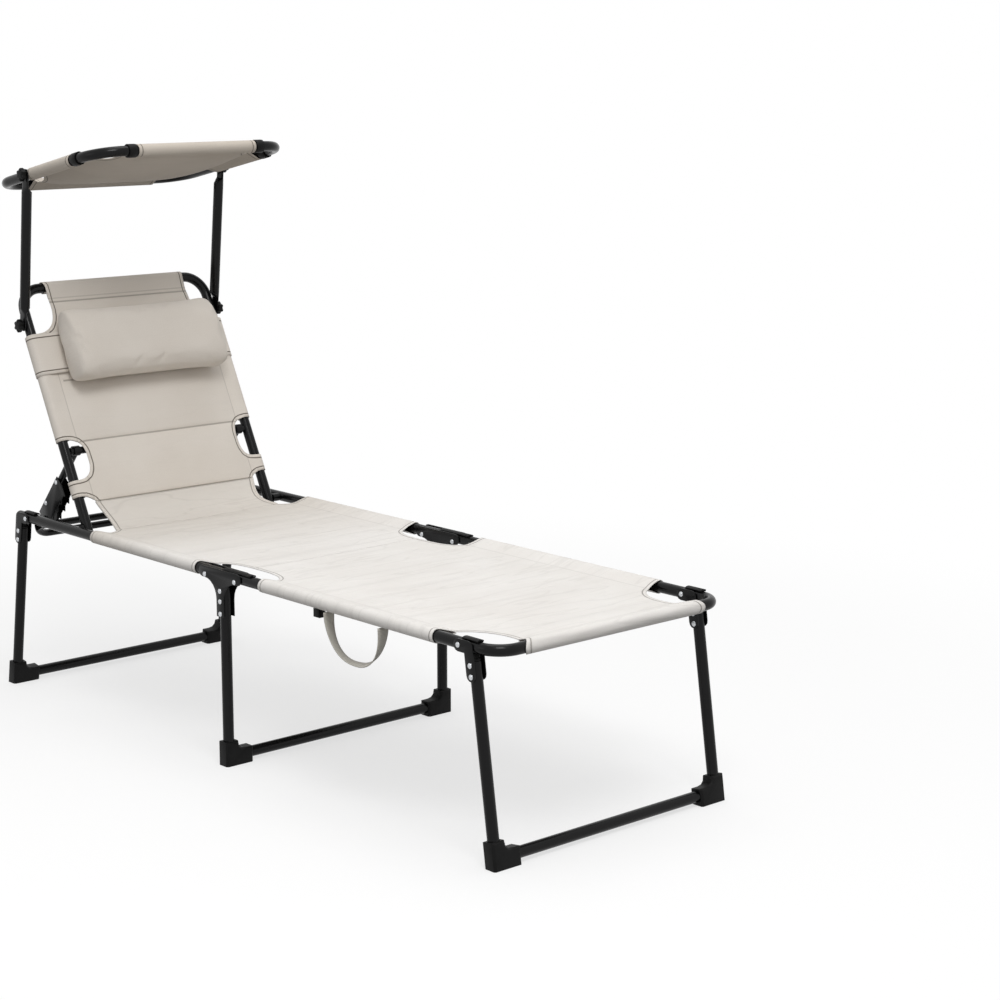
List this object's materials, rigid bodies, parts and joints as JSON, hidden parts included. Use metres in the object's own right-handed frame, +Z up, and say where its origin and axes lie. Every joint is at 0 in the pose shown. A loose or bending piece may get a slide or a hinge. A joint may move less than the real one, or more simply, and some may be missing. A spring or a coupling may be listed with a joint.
{
  "type": "sun lounger with canopy",
  "caption": "Folding sling sun lounger with a ratchet backrest, a bolster pillow and a tilting canopy on two arms.",
  "frame": {"origin": "centre of the bounding box in plan, on the floor the feet stand on", "axes": "+X runs across the width, +Y from the foot end to the head end, +Z up"},
  "size_m": [0.5902, 1.7142, 1.2047],
  "materials": {
    "satin_black_steel": "satin powder coat on steel tube and plate",
    "moulded_black_plastic": "moulded, lightly satin",
    "pale_sling_fabric": "tight matt weave, hemmed and stitched",
    "padded_beige_fabric": "tight matt weave, padded and stitched",
    "canopy_cloth": "tight matt weave, single layer",
    "grey_webbing": "ribbed webbing"
  },
  "bodies": {
    "middle_stand": {"middle_cross_bar": "satin_black_steel", "middle_elbow_left": "moulded_black_plastic", "middle_elbow_right": "moulded_black_plastic", "middle_leg_left": "satin_black_steel", "middle_leg_right": "satin_black_steel", "t_bracket_left": "satin_black_steel", "t_bracket_right": "satin_black_steel", "bridge_fabric": "pale_sling_fabric"},
    "seat_half": {"seat_rail_left": "satin_black_steel", "seat_rail_right": "satin_black_steel", "head_rail_pad_left": "moulded_black_plastic", "head_rail_pad_right": "moulded_black_plastic", "catch_bar": "satin_black_steel", "seat_fabric": "pale_sling_fabric"},
    "foot_half": {"foot_frame": "satin_black_steel", "foot_rail_pad_left": "moulded_black_plastic", "foot_rail_pad_right": "moulded_black_plastic", "leg_clip_left": "moulded_black_plastic", "leg_clip_right": "moulded_black_plastic", "foot_fabric": "pale_sling_fabric", "carry_strap": "grey_webbing"},
    "head_legs": {"head_leg_left": "satin_black_steel", "head_leg_right": "satin_black_steel", "head_elbow_left": "moulded_black_plastic", "head_elbow_right": "moulded_black_plastic", "head_cross_bar": "satin_black_steel", "head_leg_plug_left": "moulded_black_plastic", "head_leg_plug_right": "moulded_black_plastic", "head_bracket_left": "satin_black_steel", "head_bracket_right": "satin_black_steel"},
    "foot_legs": {"foot_leg_left": "satin_black_steel", "foot_leg_right": "satin_black_steel", "foot_elbow_left": "moulded_black_plastic", "foot_elbow_right": "moulded_black_plastic", "foot_cross_bar": "satin_black_steel", "foot_leg_plug_left": "moulded_black_plastic", "foot_leg_plug_right": "moulded_black_plastic", "foot_bracket_left": "satin_black_steel", "foot_bracket_right": "satin_black_steel"},
    "backrest": {"backrest_frame": "satin_black_steel", "backrest_cross_tube": "satin_black_steel", "backrest_fabric": "padded_beige_fabric"},
    "prop": {"prop_frame": "satin_black_steel", "saw_plates_left": "satin_black_steel", "saw_plates_right": "satin_black_steel"},
    "head_pillow": {"pillow": "padded_beige_fabric", "pillow_band": "padded_beige_fabric"},
    "canopy_arms": {"canopy_arm_left": "satin_black_steel", "canopy_arm_right": "satin_black_steel"},
    "canopy": {"canopy_frame": "satin_black_steel", "canopy_fabric": "canopy_cloth", "side_collar_left": "moulded_black_plastic", "side_collar_right": "moulded_black_plastic", "front_collar_left": "moulded_black_plastic", "front_collar_right": "moulded_black_plastic"},
    "lower_left_knob": {"lower_knob_left": "moulded_black_plastic"},
    "lower_right_knob": {"lower_knob_right": "moulded_black_plastic"},
    "upper_left_knob": {"upper_knob_left": "moulded_black_plastic"},
    "upper_right_knob": {"upper_knob_right": "moulded_black_plastic"}
  },
  "joints": [
    {"name": "seat_half_fold", "type": "hinge", "parent": "middle_stand", "child": "seat_half", "pos_m": [0, 0.00453, 0.383], "axis": [-1, 0, 0], "range_deg": [0, 85]},
    {"name": "foot_half_fold", "type": "hinge", "parent": "middle_stand", "child": "foot_half", "pos_m": [0, -0.09447, 0.383], "axis": [1, 0, 0], "range_deg": [0, 85]},
    {"name": "head_legs_fold", "type": "hinge", "parent": "seat_half", "child": "head_legs", "pos_m": [0, 0.6845, 0.3888], "axis": [-1, 0, 0], "range_deg": [0, 97]},
    {"name": "foot_legs_fold", "type": "hinge", "parent": "foot_half", "child": "foot_legs", "pos_m": [0, -0.75544, 0.3888], "axis": [1, 0, 0], "range_deg": [0, 97], "deforming": ["carry_strap"]},
    {"name": "backrest_recline", "type": "hinge", "parent": "seat_half", "child": "backrest", "pos_m": [0, 0.51743, 0.3888], "axis": [-1, 0, 0], "range_deg": [0, 63.2], "deforming": ["pillow_band"]},
    {"name": "prop_swing", "type": "hinge", "parent": "backrest", "child": "prop", "pos_m": [0, 0.59488, 0.54238], "axis": [1, 0, 0], "range_deg": [0, 112.2]},
    {"name": "pillow_slide", "type": "slide", "parent": "backrest", "child": "head_pillow", "axis": [0, 0.4503, 0.8929], "range_m": [-0.11, 0.01]},
    {"name": "canopy_arms_swing", "type": "hinge", "parent": "backrest", "child": "canopy_arms", "pos_m": [0, 0.72797, 0.80632], "axis": [1, 0, 0], "range_deg": [0, 75]},
    {"name": "canopy_tilt", "type": "hinge", "parent": "canopy_arms", "child": "canopy", "pos_m": [0, 0.69355, 1.13355], "axis": [1, 0, 0], "range_deg": [-35, 40]},
    {"name": "lower_left_knob_turn", "type": "hinge", "parent": "backrest", "child": "lower_left_knob", "pos_m": [-0.262, 0.72797, 0.80632], "axis": [1, 0, 0], "continuous": true},
    {"name": "lower_right_knob_turn", "type": "hinge", "parent": "backrest", "child": "lower_right_knob", "pos_m": [0.262, 0.72797, 0.80632], "axis": [1, 0, 0], "continuous": true},
    {"name": "upper_left_knob_turn", "type": "hinge", "parent": "canopy", "child": "upper_left_knob", "pos_m": [-0.262, 0.69355, 1.13355], "axis": [1, 0, 0], "continuous": true},
    {"name": "upper_right_knob_turn", "type": "hinge", "parent": "canopy", "child": "upper_right_knob", "pos_m": [0.262, 0.69355, 1.13355], "axis": [1, 0, 0], "continuous": true}
  ],
  "couplings": [
    {"joint": "prop_swing", "follows": "backrest_recline", "ratio": 1.7725}
  ]
}
